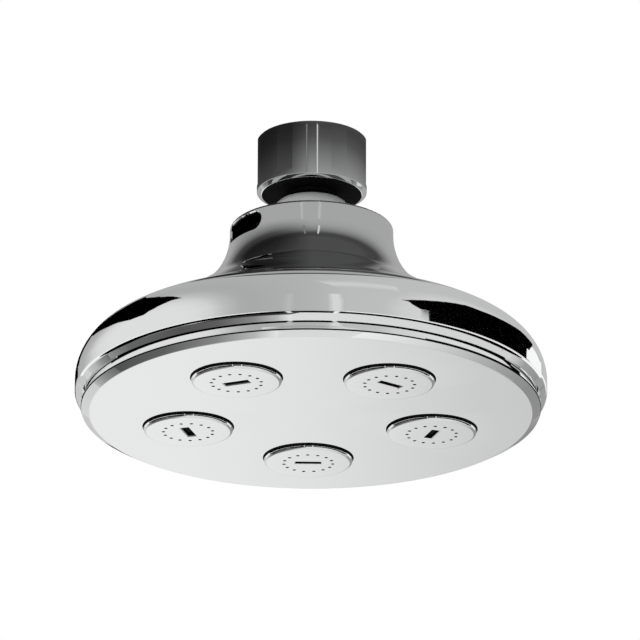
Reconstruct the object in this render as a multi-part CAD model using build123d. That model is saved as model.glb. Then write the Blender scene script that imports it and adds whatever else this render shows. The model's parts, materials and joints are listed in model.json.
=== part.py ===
from build123d import *
import os
from math import asin, cos, degrees, hypot, radians, sin, sqrt

# Fixed shower head that hangs from a half-inch pipe on a ball joint. Lengths are in millimetres.
# The origin is the centre of the inlet nut's mouth, +Z points up the pipe, and the spray face looks down.
# The front of the head is towards -Y.

# Fits shared by all pieces
RUN_FIT = 0.08  # radial clearance of faces that turn on each other
AXIAL_PLAY = 0.15  # end clearance of pieces that turn on each other
SNUG = 0.02  # clearance of pieces that are assembled and stay put
FILLET_SHARE = 0.9  # of the shorter side that a fillet may use up

# Inlet nut with a half-inch female thread, held as its minor radius
NUT_RADIUS = 13.85
NUT_HEIGHT = 14.95
NUT_FLOOR = 3.35
NUT_MOUTH_CHAMFER = 0.5
NUT_FOOT_INSET = 1.2
NUT_FOOT_RISE = 0.75
THREAD_RADIUS = 9.32
THREAD_RELIEF = 0.5
FLAT_COUNT = 6
FLAT_DEPTH = 0.18
FLAT_SHELF = 2.2

# Ball stem, with the snap ring that keeps the nut on it
BALL_RADIUS = 12.4
BALL_DROP = 11.45  # from the underside of the nut to the ball's centre
BALL_FOOT = 11.0  # from the ball's centre to the flat on its underside
STEM_RADIUS = 6.2
STEM_BORE = 3.8
STEM_LIP = 0.5  # stem left above the snap ring
FOOT_CHAMFER = 0.9
CLIP_THICKNESS = 1.2
CLIP_RADIUS = 8.8
CLIP_GROOVE = 0.8
CLIP_GAP = 2.4

# Washer, filter and flow restrictor at the top of the stem
WASHER_RADIUS = 9.2
WASHER_THICKNESS = 1.6
FILTER_RADIUS = 5.7
FILTER_THICKNESS = 0.6
FILTER_MARGIN = 1.3
FILTER_OPENING = 0.8
FILTER_PITCH = 1.25
RESTRICTOR_RADIUS = 4.6
RESTRICTOR_HEIGHT = 3.6
RESTRICTOR_DEPTH = 5.0  # from the top of the stem to the ledge that carries the restrictor
RESTRICTOR_JET = 1.1
RESTRICTOR_SEAL = 0.45  # section radius of its O-ring

# Ball seats and seals
SEAT_RADIUS = 16.0
SEAT_SPLIT = 0.6  # gap between the two seats at the ball's equator
SEAT_TOP = 2.7  # height of the upper seat above the ball's centre
SEAT_TOP_WIDTH = 1.4
SEAT_WALL_TOP = 0.7  # where the upper seat starts to taper in
SEAT_FLOOR = 1.85
SEAT_SEAL = 0.8
SEAT_SEAL_RISE = 2.2  # centre of the seat's outer O-ring above the foot of the lower seat
BALL_SEAL = 0.9
BALL_SEAL_ANGLE = 46.5  # where the seal meets the ball, from straight down
BALL_SEAL_ROOM = 0.7

# Threaded ring that holds the seats from below
RETAINER_RADIUS = 17.4
RETAINER_BORE = 8.5
RETAINER_HEIGHT = 4.0
RETAINER_SEAL = 0.8
SPANNER_WIDTH = 3.0
SPANNER_DEPTH = 1.2

# Body: neck, cove, dome and skirt. Heights are above the flat of the faceplate.
HEAD_HEIGHT = 49.65
NECK_RADIUS = 20.55
NECK_RISE = 2.35  # top of the neck above the ball's centre
NECK_EDGE = 0.8
NECK_CORNER_DROP = 12.45  # from the neck's top to where its wall would meet the dome
COVE_RADIUS = 20.0
BREAK_RADIUS = 41.1  # where the dome's slope eases off
BREAK_HEIGHT = 23.4
BREAK_BLEND = 40.0
RIM_RADIUS = 59.0
SHOULDER_HEIGHT = 16.7
SHOULDER_RADIUS = 12.0
SKIRT_HEIGHT = 3.5  # lower edge of the skirt
RIM_BEVEL_INSET = 1.6
RIM_BEVEL_RISE = 1.55
RIM_EDGE = 1.4  # rounding where the skirt meets its bevel
WALL = 3.0
SKIRT_WALL = 2.2

# Collar round the ball at the top of the neck
COLLAR_HEIGHT = 1.0
COLLAR_GAP = 0.4
COLLAR_WALL = 0.9
COLLAR_FOOT = 3.4  # flat left on top of the neck outside the collar

# Slot in the side of the neck
SLOT_WIDTH = 14.0
SLOT_HEIGHT = 3.8
SLOT_DROP = 3.25  # centre of the slot below the neck's top
SLOT_AZIMUTH = 211.5
SLOT_EDGE = 0.5  # width of the flare at its rim

# Faceplate with its snap rim
PLATE_INSET = 3.6  # from the rim to the flat of the plate
PLATE_THICKNESS = 1.8
PLATE_BEVEL_INSET = 2.05
PLATE_BEVEL_RISE = 1.15
PLATE_EDGE = 0.8
FLANGE_LAND = 0.5  # upright edge of the flange above the bevel
FLANGE_EDGE = 0.5
PLATE_WALL_TAPER = 0.25  # of the wall between the flange and the skirt
PLATE_RIM_WALL = 1.8
PLATE_RIM_RISE = 5.6
PLATE_RIM_GAP = 0.2
BEAD_HEIGHT = 4.9
BEAD_REACH = 0.4
BEAD_WIDTH = 0.9
BEAD_ROOM = 0.15

# Water manifold behind the faceplate
MANIFOLD_HEIGHT = 6.0
MANIFOLD_THICKNESS = 4.5
MANIFOLD_GAP = 0.2
MANIFOLD_SEAL = 0.9
SOCKET_WALL = 2.4

# Screws that hold the manifold, and their posts in the body
SCREW_CIRCLE_SHARE = 0.746  # of the rim radius
SCREW_RADIUS = 1.5
SCREW_LENGTH = 10.5
SCREW_HEAD_RADIUS = 2.9
SCREW_HEAD_HEIGHT = 1.8
SCREW_DRIVE = 0.8
SCREW_HOLE_GAP = 0.3
POST_RADIUS = 3.6
PILOT_SPARE = 1.0

# Nozzles: a round cup with a ring of jets and a slot in its face
NOZZLE_COUNT = 5
NOZZLE_CIRCLE_SHARE = 0.544  # of the rim radius
NOZZLE_AZIMUTH = 19.1  # of the first nozzle, from +X
NOZZLE_RADIUS = 11.2
NOZZLE_PROUD = 1.43
NOZZLE_BEVEL_INSET = 0.8
NOZZLE_BEVEL_RISE = 0.55
NOZZLE_EDGE = 0.2
NOZZLE_FACE = 2.1  # thickness behind the face
NOZZLE_GAP = 0.3
NOZZLE_FLANGE = 2.4  # height of the shoulder that meets the manifold
SPIGOT_RADIUS = 9.2
SPIGOT_WALL = 1.6
SPIGOT_TOP = 9.6
SPIGOT_SEAL = 0.5
SPIGOT_SEAL_HEIGHT = 7.8
JET_COUNT = 15
JET_CIRCLE_RADIUS = 6.2
JET_RADIUS = 0.45
JET_TURNS = (18.2, 9.6, 19.1, 19.3, 2.8)  # of each ring of jets, from the head's radius
COIN_SLOT_LENGTH = 6.5
COIN_SLOT_WIDTH = 2.0
COIN_SLOT_DEPTH = 1.2
COIN_SLOT_TURNS = (0, 0, 0, 12, 0)  # of each slot, from the head's tangent

# Heights in the row frame that the pieces share
nut_foot = -NUT_HEIGHT
nut_floor = nut_foot + NUT_FLOOR
clip_foot = nut_floor + AXIAL_PLAY
stem_top = clip_foot + CLIP_THICKNESS + STEM_LIP
washer_top = stem_top + WASHER_THICKNESS
thread_foot = washer_top + AXIAL_PLAY
ball_centre = nut_foot - BALL_DROP
neck_top = ball_centre + NECK_RISE
face = neck_top - HEAD_HEIGHT

# Radii and heights of the ball joint, from the ball's centre
seat_sphere = BALL_RADIUS + RUN_FIT
chamber_radius = SEAT_RADIUS + RUN_FIT
seal_reach = seat_sphere + BALL_SEAL
seal_radius = seal_reach * sin(radians(BALL_SEAL_ANGLE))
seal_height = -seal_reach * cos(radians(BALL_SEAL_ANGLE))
seal_wall = seal_radius + BALL_SEAL + SNUG
seal_floor = seal_height - BALL_SEAL - SNUG
seat_foot = seal_floor - SEAT_FLOOR
seat_top_inner = sqrt(seat_sphere**2 - SEAT_TOP**2)
seat_top_outer = seat_top_inner + SEAT_TOP_WIDTH
chamber_foot = seat_foot - AXIAL_PLAY
chamber_top = SEAT_TOP + AXIAL_PLAY
chamber_top_radius = seat_top_outer + RUN_FIT
retainer_foot = chamber_foot - RETAINER_HEIGHT
collar_bore = seat_top_inner + COLLAR_GAP
collar_top = chamber_top + COLLAR_HEIGHT
collar_top_radius = chamber_top_radius + COLLAR_WALL

# Radii of the pieces on and inside the skirt
plate_radius = RIM_RADIUS - PLATE_INSET
nozzle_circle = RIM_RADIUS * NOZZLE_CIRCLE_SHARE
screw_circle = RIM_RADIUS * SCREW_CIRCLE_SHARE
skirt_bore = RIM_RADIUS - SKIRT_WALL
rim_radius = skirt_bore - PLATE_RIM_GAP
manifold_radius = skirt_bore - MANIFOLD_GAP
manifold_top = MANIFOLD_HEIGHT + MANIFOLD_THICKNESS
socket_bore = SPIGOT_RADIUS + SNUG
nozzle_azimuths = [NOZZLE_AZIMUTH + 360 / NOZZLE_COUNT * i for i in range(NOZZLE_COUNT)]
screw_azimuths = [azimuth + 180 / NOZZLE_COUNT for azimuth in nozzle_azimuths]


def turned(corners, fillets=None, arc=360):
    """Solid turned about Z from a closed outline of (radius, height) corners."""
    points = [(radius, 0, height) for radius, height in corners]
    if fillets is None:
        outline = Polyline(*points, close=True)
    else:
        outline = FilletPolyline(*points, radius=fillets, close=True)
    return revolve(make_face(outline), Axis.Z, arc)


def tube(outer, inner, low, high):
    """Plain ring between two radii and two heights."""
    return turned([(inner, low), (outer, low), (outer, high), (inner, high)])


def rod(radius, low, high):
    """Solid cylinder between two heights."""
    return Pos(0, 0, low) * Cylinder(radius, high - low, align=(Align.CENTER, Align.CENTER, Align.MIN))


def o_ring(section, height, outer):
    """O-ring of one section radius that reaches out to the wall at the outer radius."""
    return Pos(0, 0, height) * Torus(outer - section, section)


def o_ring_groove(section, height, outer):
    """Groove for an O-ring that reaches out to the wall at the outer radius."""
    half = section + SNUG
    return tube(outer + section, outer - 2 * section - SNUG, height - half, height + half)


def largest_fillet(wanted, before, corner, after):
    """Fillet radius at a corner, held to what its shorter side has room for."""
    side_a = (before[0] - corner[0], before[1] - corner[1])
    side_b = (after[0] - corner[0], after[1] - corner[1])
    room = min(hypot(*side_a), hypot(*side_b)) * FILLET_SHARE
    dot = (side_a[0] * side_b[0] + side_a[1] * side_b[1]) / (hypot(*side_a) * hypot(*side_b))
    half_tangent = sqrt((1 - dot) / (1 + dot))
    return min(wanted, room * half_tangent)


def inlet_nut():
    """Round union nut with shallow wrench flats, open at the top and holed for the stem below."""
    outer = turned(
        [
            (0, nut_foot),
            (NUT_RADIUS - NUT_FOOT_INSET, nut_foot),
            (NUT_RADIUS, nut_foot + NUT_FOOT_RISE),
            (NUT_RADIUS, -NUT_MOUTH_CHAMFER),
            (NUT_RADIUS - NUT_MOUTH_CHAMFER, 0),
            (0, 0),
        ]
    )
    shelf = nut_foot + FLAT_SHELF
    flat = Pos(NUT_RADIUS - FLAT_DEPTH, 0, shelf) * Box(
        NUT_RADIUS, NUT_RADIUS, NUT_HEIGHT, align=(Align.MIN, Align.CENTER, Align.MIN)
    )
    flats = [Rot(0, 0, 360 / FLAT_COUNT * i) * flat for i in range(FLAT_COUNT)]
    hollow = rod(THREAD_RADIUS, thread_foot, NUT_HEIGHT)
    hollow += rod(THREAD_RADIUS + THREAD_RELIEF, nut_floor, thread_foot)
    stem_hole = rod(STEM_RADIUS + RUN_FIT, nut_foot - NUT_HEIGHT, nut_floor)
    return outer - flats - hollow - stem_hole


def ball_stem():
    """Ball and tubular stem turned in one piece, with a groove for the snap ring."""
    ball = Pos(0, 0, ball_centre) * Sphere(BALL_RADIUS)
    foot = ball_centre - BALL_FOOT
    blank = ball + rod(STEM_RADIUS, ball_centre, stem_top)
    blank -= rod(BALL_RADIUS, foot - BALL_RADIUS, foot)
    groove = tube(STEM_RADIUS + CLIP_GROOVE, STEM_RADIUS - CLIP_GROOVE, clip_foot, clip_foot + CLIP_THICKNESS)
    bore = rod(STEM_BORE, foot - FOOT_CHAMFER, stem_top)
    pocket = rod(RESTRICTOR_RADIUS, stem_top - RESTRICTOR_DEPTH, stem_top + STEM_LIP)
    countersink = turned(
        [
            (0, foot),
            (STEM_BORE + FOOT_CHAMFER, foot),
            (STEM_BORE, foot + FOOT_CHAMFER),
            (0, foot + FOOT_CHAMFER),
        ]
    )
    return blank - groove - bore - pocket - countersink


def nut_retaining_clip():
    """Open snap ring in the stem's groove, which the nut's floor bears on."""
    ring = tube(CLIP_RADIUS, STEM_RADIUS - CLIP_GROOVE + SNUG, clip_foot, clip_foot + CLIP_THICKNESS)
    gap = Pos(0, 0, clip_foot) * Box(
        CLIP_GAP, CLIP_RADIUS * 2, CLIP_THICKNESS, align=(Align.CENTER, Align.MIN, Align.MIN)
    )
    return ring - gap


def inlet_washer():
    """Flat washer on the end of the stem, with room for the filter inside it."""
    return tube(WASHER_RADIUS, FILTER_RADIUS + SNUG, stem_top, washer_top)


def inlet_filter_screen():
    """Disc screen with square openings, laid on the end of the stem."""
    reach = FILTER_RADIUS - FILTER_MARGIN
    across = int(2 * reach / FILTER_PITCH) + 1
    grid = GridLocations(FILTER_PITCH, FILTER_PITCH, across, across)
    places = [place for place in grid if place.position.length < reach]
    openings = [
        Pos(0, 0, stem_top) * place * Box(FILTER_OPENING, FILTER_OPENING, FILTER_RADIUS) for place in places
    ]
    return rod(FILTER_RADIUS, stem_top, stem_top + FILTER_THICKNESS) - openings


def restrictor_seal_height():
    """Height of the O-ring half-way up the flow restrictor."""
    return stem_top - RESTRICTOR_DEPTH + RESTRICTOR_HEIGHT / 2


def flow_restrictor():
    """Disc with one small jet, on the ledge inside the stem."""
    foot = stem_top - RESTRICTOR_DEPTH
    disc = rod(RESTRICTOR_RADIUS - SNUG, foot, foot + RESTRICTOR_HEIGHT)
    jet = rod(RESTRICTOR_JET, foot - RESTRICTOR_HEIGHT, foot + 2 * RESTRICTOR_HEIGHT)
    return disc - jet - o_ring_groove(RESTRICTOR_SEAL, restrictor_seal_height(), RESTRICTOR_RADIUS)


def upper_ball_seat():
    """Tapered ring that holds the ball down under the neck's collar."""
    low = SEAT_SPLIT / 2
    blank = turned(
        [
            (0, low),
            (SEAT_RADIUS, low),
            (SEAT_RADIUS, SEAT_WALL_TOP),
            (seat_top_outer, SEAT_TOP),
            (0, SEAT_TOP),
        ]
    )
    return blank - Sphere(seat_sphere)


def seat_seal_height():
    """Height of the O-ring round the lower seat, from the ball's centre."""
    return seat_foot + SEAT_SEAL_RISE


def lower_ball_seat():
    """Cup ring under the ball, with a step for the ball seal and a groove outside."""
    blank = rod(SEAT_RADIUS, seat_foot, -SEAT_SPLIT / 2)
    step = rod(seal_wall, seal_floor, seal_height + BALL_SEAL + BALL_SEAL_ROOM)
    mouth = rod(seal_radius - BALL_SEAL, seat_foot - SEAT_FLOOR, seal_floor)
    groove = o_ring_groove(SEAT_SEAL, seat_seal_height(), chamber_radius - RUN_FIT)
    return blank - Sphere(seat_sphere) - step - mouth - groove


def retainer_seal_height():
    """Height of the O-ring round the retaining ring, from the ball's centre."""
    return retainer_foot + RETAINER_HEIGHT / 2


def ball_retainer():
    """Ring screwed up into the neck under the seats, with two spanner notches."""
    ring = tube(RETAINER_RADIUS, RETAINER_BORE, retainer_foot, chamber_foot)
    notch = Pos(0, 0, retainer_foot) * Box(
        2 * RETAINER_RADIUS, SPANNER_WIDTH, SPANNER_DEPTH, align=(Align.CENTER, Align.CENTER, Align.MIN)
    )
    core = rod(RETAINER_RADIUS - WALL, retainer_foot, chamber_foot)
    groove = o_ring_groove(RETAINER_SEAL, retainer_seal_height(), RETAINER_RADIUS + SNUG)
    return ring - (notch & core) - groove


def dome_outline():
    """Corners and fillets of the body's outside, from the rim up over the dome to the collar."""
    top = HEAD_HEIGHT
    ball = top - NECK_RISE
    rim_foot = (RIM_RADIUS - RIM_BEVEL_INSET, SKIRT_HEIGHT)
    rim = (RIM_RADIUS, SKIRT_HEIGHT + RIM_BEVEL_RISE)
    shoulder = (RIM_RADIUS, SHOULDER_HEIGHT)
    slope_break = (BREAK_RADIUS, BREAK_HEIGHT)
    cove = (NECK_RADIUS, top - NECK_CORNER_DROP)
    neck = (NECK_RADIUS, top)
    neck_flat = (NECK_RADIUS - COLLAR_FOOT, top)
    collar = (collar_top_radius, ball + collar_top)
    corners = [(0, SKIRT_HEIGHT), rim_foot, rim, shoulder, slope_break, cove, neck, neck_flat, collar]
    corners.append((0, ball + collar_top))
    fillets = [
        0,
        0,
        RIM_EDGE,
        largest_fillet(SHOULDER_RADIUS, rim, shoulder, slope_break),
        BREAK_BLEND,
        largest_fillet(COVE_RADIUS, slope_break, cove, neck),
        NECK_EDGE,
        0,
        0,
        0,
    ]
    return corners, fillets


def wall_lines():
    """Slopes of the dome's upper and lower cones, and the heights of their inner faces on the axis."""
    cove_height = HEAD_HEIGHT - NECK_CORNER_DROP
    upper_slope = (cove_height - BREAK_HEIGHT) / (BREAK_RADIUS - NECK_RADIUS)
    lower_slope = (BREAK_HEIGHT - SHOULDER_HEIGHT) / (RIM_RADIUS - BREAK_RADIUS)
    upper_top = BREAK_HEIGHT + upper_slope * BREAK_RADIUS - WALL * hypot(1, upper_slope)
    lower_top = BREAK_HEIGHT + lower_slope * BREAK_RADIUS - WALL * hypot(1, lower_slope)
    return upper_slope, upper_top, lower_slope, lower_top


def dome_cavity():
    """Water chamber under the dome, one wall thickness inside the body's outside."""
    upper_slope, upper_top, lower_slope, lower_top = wall_lines()
    roof = HEAD_HEIGHT - NECK_RISE + retainer_foot
    roof_edge = ((upper_top - roof) / upper_slope, roof)
    break_radius = (upper_top - lower_top) / (upper_slope - lower_slope)
    slope_break = (break_radius, upper_top - upper_slope * break_radius)
    shoulder = (skirt_bore, lower_top - lower_slope * skirt_bore)
    seal_wall_top = (skirt_bore, manifold_top)
    shoulder_fillet = largest_fillet(SHOULDER_RADIUS - WALL, seal_wall_top, shoulder, slope_break)
    corners = [(0, 0), (skirt_bore, 0), shoulder, slope_break, roof_edge, (0, roof)]
    return turned(corners, [0, 0, shoulder_fillet, BREAK_BLEND, 0, 0])


def screw_posts():
    """Posts under the dome, and their pilot holes."""
    lower_slope, lower_top = wall_lines()[2:]
    post_top = lower_top - lower_slope * (screw_circle - POST_RADIUS)
    pilot_top = MANIFOLD_HEIGHT + SCREW_LENGTH + PILOT_SPARE
    places = PolarLocations(screw_circle, NOZZLE_COUNT, start_angle=screw_azimuths[0])
    posts = [place * rod(POST_RADIUS, manifold_top, post_top) for place in places]
    pilots = [place * rod(SCREW_RADIUS + SNUG, MANIFOLD_HEIGHT, pilot_top) for place in places]
    return posts, pilots


def neck_slot():
    """Oval slot that follows the neck round, with its outer rim flared at 45 degrees."""
    half = SLOT_HEIGHT / 2
    throat = NECK_RADIUS - SLOT_EDGE
    flare = SLOT_EDGE + half
    outside = throat + flare
    end_angle = degrees(asin(half / NECK_RADIUS))
    span = 2 * (degrees(asin(SLOT_WIDTH / 2 / NECK_RADIUS)) - end_angle)
    band = turned(
        [
            (SEAT_RADIUS, -half),
            (throat, -half),
            (outside, -half - flare),
            (outside, half + flare),
            (throat, half),
            (SEAT_RADIUS, half),
        ],
        arc=span,
    )
    mouth = Pos(0, 0, throat) * Cone(half, half + flare, flare, align=(Align.CENTER, Align.CENTER, Align.MIN))
    end = Rot(0, 90, 0) * (rod(half, SEAT_RADIUS, throat) + mouth)
    cut = band + end + Rot(0, 0, span) * end
    return Rot(0, 0, SLOT_AZIMUTH - span / 2) * Pos(0, 0, HEAD_HEIGHT - SLOT_DROP) * cut


def shower_body():
    """Moulded bell: neck with a collar round the ball, cove, dome and skirt."""
    ball = HEAD_HEIGHT - NECK_RISE
    chamber = turned(
        [
            (0, ball + chamber_foot),
            (chamber_radius, ball + chamber_foot),
            (chamber_radius, ball + SEAT_WALL_TOP + AXIAL_PLAY),
            (chamber_top_radius, ball + chamber_top),
            (0, ball + chamber_top),
        ]
    )
    mouth = rod(collar_bore, ball, ball + collar_top + COLLAR_HEIGHT)
    retainer_bore = rod(RETAINER_RADIUS + SNUG, ball + retainer_foot, ball + chamber_foot)
    bead_half = BEAD_WIDTH / 2 + BEAD_ROOM
    bead_reach = rim_radius + BEAD_REACH + BEAD_ROOM
    bead_low = BEAD_HEIGHT - bead_half
    bead_groove = tube(bead_reach, rim_radius, bead_low, BEAD_HEIGHT + bead_half)
    posts, pilots = screw_posts()
    bell = turned(*dome_outline()) - dome_cavity() + posts
    return bell - pilots - chamber - mouth - retainer_bore - bead_groove - neck_slot()


def water_manifold():
    """Plate that closes the water chamber, with a socket for each nozzle."""
    plate = rod(manifold_radius, MANIFOLD_HEIGHT, manifold_top)
    places = PolarLocations(nozzle_circle, NOZZLE_COUNT, start_angle=NOZZLE_AZIMUTH)
    bosses = [place * rod(socket_bore + SOCKET_WALL, NOZZLE_FLANGE, MANIFOLD_HEIGHT) for place in places]
    sockets = [place * rod(socket_bore, 0, 2 * manifold_top) for place in places]
    screw_places = PolarLocations(screw_circle, NOZZLE_COUNT, start_angle=screw_azimuths[0])
    screw_holes = [place * rod(SCREW_RADIUS + SCREW_HOLE_GAP, 0, 2 * manifold_top) for place in screw_places]
    groove = o_ring_groove(MANIFOLD_SEAL, manifold_seal_height(), skirt_bore)
    return plate + bosses - sockets - screw_holes - groove


def manifold_seal_height():
    """Height of the O-ring half-way up the manifold's edge."""
    return MANIFOLD_HEIGHT + MANIFOLD_THICKNESS / 2


def manifold_screws():
    """Screws up through the manifold into the body's posts, each a separate solid."""
    shank = rod(SCREW_RADIUS, MANIFOLD_HEIGHT, MANIFOLD_HEIGHT + SCREW_LENGTH)
    head = rod(SCREW_HEAD_RADIUS, MANIFOLD_HEIGHT - SCREW_HEAD_HEIGHT, MANIFOLD_HEIGHT)
    drive = Pos(0, 0, MANIFOLD_HEIGHT - SCREW_HEAD_HEIGHT) * Box(
        2 * SCREW_HEAD_RADIUS, SCREW_DRIVE, SCREW_HEAD_HEIGHT
    )
    screw = shank + head - drive
    places = PolarLocations(screw_circle, NOZZLE_COUNT, start_angle=screw_azimuths[0])
    return Compound(children=[place * screw for place in places])


def faceplate():
    """Flat spray plate with a bevelled edge and a rim that snaps into the skirt."""
    flange = plate_radius + PLATE_BEVEL_INSET
    flange_top = PLATE_BEVEL_RISE + FLANGE_LAND
    inner = rim_radius - PLATE_RIM_WALL
    bead_low = BEAD_HEIGHT - BEAD_WIDTH / 2
    bead_high = BEAD_HEIGHT + BEAD_WIDTH / 2
    plate = turned(
        [
            (0, 0),
            (plate_radius, 0),
            (flange, PLATE_BEVEL_RISE),
            (flange, flange_top),
            (rim_radius - PLATE_WALL_TAPER, flange_top),
            (rim_radius, SKIRT_HEIGHT),
            (rim_radius, bead_low),
            (rim_radius + BEAD_REACH, BEAD_HEIGHT),
            (rim_radius, bead_high),
            (rim_radius, PLATE_RIM_RISE),
            (inner, PLATE_RIM_RISE),
            (inner, PLATE_THICKNESS),
            (0, PLATE_THICKNESS),
        ],
        [0, PLATE_EDGE, FLANGE_EDGE] + [0] * 10,
    )
    places = PolarLocations(nozzle_circle, NOZZLE_COUNT, start_angle=NOZZLE_AZIMUTH)
    return plate - [place * rod(NOZZLE_RADIUS + NOZZLE_GAP, -PLATE_THICKNESS, RIM_RADIUS) for place in places]


def nozzle(azimuth, jet_turn, slot_turn):
    """Cup with a bevelled face, a ring of jets, a slot to turn it by and a spigot into the manifold."""
    cup_floor = NOZZLE_FACE - NOZZLE_PROUD
    cup = turned(
        [
            (0, -NOZZLE_PROUD),
            (NOZZLE_RADIUS - NOZZLE_BEVEL_INSET, -NOZZLE_PROUD),
            (NOZZLE_RADIUS, NOZZLE_BEVEL_RISE - NOZZLE_PROUD),
            (NOZZLE_RADIUS, NOZZLE_FLANGE),
            (SPIGOT_RADIUS, NOZZLE_FLANGE),
            (SPIGOT_RADIUS, SPIGOT_TOP),
            (SPIGOT_RADIUS - SPIGOT_WALL, SPIGOT_TOP),
            (SPIGOT_RADIUS - SPIGOT_WALL, cup_floor),
            (0, cup_floor),
        ],
        [0, NOZZLE_EDGE, NOZZLE_EDGE, 0, 0, 0, 0, 0, 0],
    )
    jets = [
        place * rod(JET_RADIUS, -2 * NOZZLE_PROUD, cup_floor + NOZZLE_PROUD)
        for place in PolarLocations(JET_CIRCLE_RADIUS, JET_COUNT, start_angle=jet_turn)
    ]
    slot = Pos(0, 0, -NOZZLE_PROUD) * Rot(0, 0, slot_turn) * Box(
        COIN_SLOT_WIDTH, COIN_SLOT_LENGTH, 2 * COIN_SLOT_DEPTH
    )
    groove = o_ring_groove(SPIGOT_SEAL, SPIGOT_SEAL_HEIGHT, socket_bore)
    return on_nozzle_circle(azimuth) * (cup - jets - slot - groove)


def on_nozzle_circle(azimuth):
    """Place of a nozzle's axis, with its local X along the head's radius."""
    return Rot(0, 0, azimuth) * Pos(nozzle_circle, 0, 0)


at_ball = Pos(0, 0, ball_centre)
at_face = Pos(0, 0, face)

pieces = {
    "inlet_nut": inlet_nut(),
    "ball_stem": ball_stem(),
    "nut_retaining_clip": nut_retaining_clip(),
    "inlet_washer": inlet_washer(),
    "inlet_filter_screen": inlet_filter_screen(),
    "flow_restrictor": flow_restrictor(),
    "restrictor_o_ring": o_ring(RESTRICTOR_SEAL, restrictor_seal_height(), RESTRICTOR_RADIUS),
    "upper_ball_seat": at_ball * upper_ball_seat(),
    "lower_ball_seat": at_ball * lower_ball_seat(),
    "ball_seal": at_ball * Pos(0, 0, seal_height) * Torus(seal_radius, BALL_SEAL),
    "seat_o_ring": at_ball * o_ring(SEAT_SEAL, seat_seal_height(), SEAT_RADIUS),
    "ball_retainer": at_ball * ball_retainer(),
    "retainer_o_ring": at_ball * o_ring(RETAINER_SEAL, retainer_seal_height(), RETAINER_RADIUS),
    "shower_body": at_face * shower_body(),
    "water_manifold": at_face * water_manifold(),
    "manifold_o_ring": at_face * o_ring(MANIFOLD_SEAL, manifold_seal_height(), skirt_bore),
    "manifold_screws": at_face * manifold_screws(),
    "faceplate": at_face * faceplate(),
}
for number, azimuth in enumerate(nozzle_azimuths):
    place = on_nozzle_circle(azimuth)
    seal = o_ring(SPIGOT_SEAL, SPIGOT_SEAL_HEIGHT, socket_bore)
    pieces[f"nozzle_{number + 1}"] = at_face * nozzle(azimuth, JET_TURNS[number], COIN_SLOT_TURNS[number])
    pieces[f"nozzle_o_ring_{number + 1}"] = at_face * place * seal

os.makedirs("parts", exist_ok=True)
for name, piece in pieces.items():
    export_step(piece, f"parts/{name}.step")
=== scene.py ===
# %% [markdown]
# # A chrome fixed shower head in Blender
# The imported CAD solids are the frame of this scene, and Blender adds what a drawing office leaves out:
# the thread in the nut, the dark jets in the nozzles, the plating, rubber and plastic, and a small studio.
# Everything is in metres in the CAD frame, whose origin is the mouth of the inlet nut, with +Z up the pipe.

# %% Load the frame
import json
import math

import bpy
from mathutils import Matrix, Vector

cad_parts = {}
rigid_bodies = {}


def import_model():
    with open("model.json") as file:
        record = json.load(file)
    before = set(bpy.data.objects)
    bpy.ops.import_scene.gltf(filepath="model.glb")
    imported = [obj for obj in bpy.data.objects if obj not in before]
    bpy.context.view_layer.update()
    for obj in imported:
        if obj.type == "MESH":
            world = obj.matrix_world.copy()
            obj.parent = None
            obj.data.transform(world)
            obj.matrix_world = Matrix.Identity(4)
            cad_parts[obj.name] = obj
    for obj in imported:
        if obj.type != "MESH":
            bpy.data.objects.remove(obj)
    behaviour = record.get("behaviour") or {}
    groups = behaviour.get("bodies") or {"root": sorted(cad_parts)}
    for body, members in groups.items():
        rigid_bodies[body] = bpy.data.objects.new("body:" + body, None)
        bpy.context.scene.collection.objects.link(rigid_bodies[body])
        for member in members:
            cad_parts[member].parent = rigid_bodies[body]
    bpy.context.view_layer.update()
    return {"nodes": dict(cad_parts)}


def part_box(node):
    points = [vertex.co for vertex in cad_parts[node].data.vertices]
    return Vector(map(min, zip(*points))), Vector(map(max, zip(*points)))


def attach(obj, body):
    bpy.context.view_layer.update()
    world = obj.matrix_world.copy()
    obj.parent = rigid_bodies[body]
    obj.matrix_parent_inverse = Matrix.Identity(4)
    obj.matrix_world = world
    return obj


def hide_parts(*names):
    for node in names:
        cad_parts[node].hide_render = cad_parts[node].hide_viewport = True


for leftover in list(bpy.data.objects):
    bpy.data.objects.remove(leftover)
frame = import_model()
nodes = frame["nodes"]
bpy.context.scene.view_settings.view_transform = "Standard"

# %% [markdown]
# ## The camera
# The head was photographed from about 20 degrees below, with a long lens, so the spray face shows.
# A camera could be aimed by eye, but the place of the nozzle faces in the picture is known,
# so the lens, the distance and the point at the middle of the picture are set as numbers.

# %% Camera below the spray face
MM = 0.001
NOZZLE_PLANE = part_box("nozzle_1")[0].z
CAMERA_ELEVATION = math.radians(-19.98)
CAMERA_ROLL = math.radians(0.2)
CAMERA_DISTANCE = 2.1155
AIM_SIDE = 2.19 * MM
AIM_RISE = 26.65 * MM
LENS_MM = 477.0
SENSOR_MM = 36.0

view_axis = Vector((0, math.cos(CAMERA_ELEVATION), -math.sin(CAMERA_ELEVATION)))
eye = Vector((0, 0, NOZZLE_PLANE)) - CAMERA_DISTANCE * view_axis
aim = Vector((AIM_SIDE, 0, NOZZLE_PLANE + AIM_RISE))
bpy.ops.object.camera_add(location=eye)
camera = bpy.context.object
camera.data.lens = LENS_MM
camera.data.sensor_width = SENSOR_MM
level_turn = (aim - eye).to_track_quat("-Z", "Y").to_matrix()
camera.rotation_euler = (level_turn @ Matrix.Rotation(CAMERA_ROLL, 3, "Z")).to_euler()
bpy.context.scene.camera = camera
print("camera at", tuple(round(c, 4) for c in camera.location))

# %% [markdown]
# ## Turning a piece on the lathe
# The nut and the nozzles are turned parts. Stacked cylinders would leave steps and bad edges,
# so each piece starts as one point that is extruded along half of its section and then spun round Z.
# A corner may carry a rounding radius, which becomes a short arc.

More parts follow.
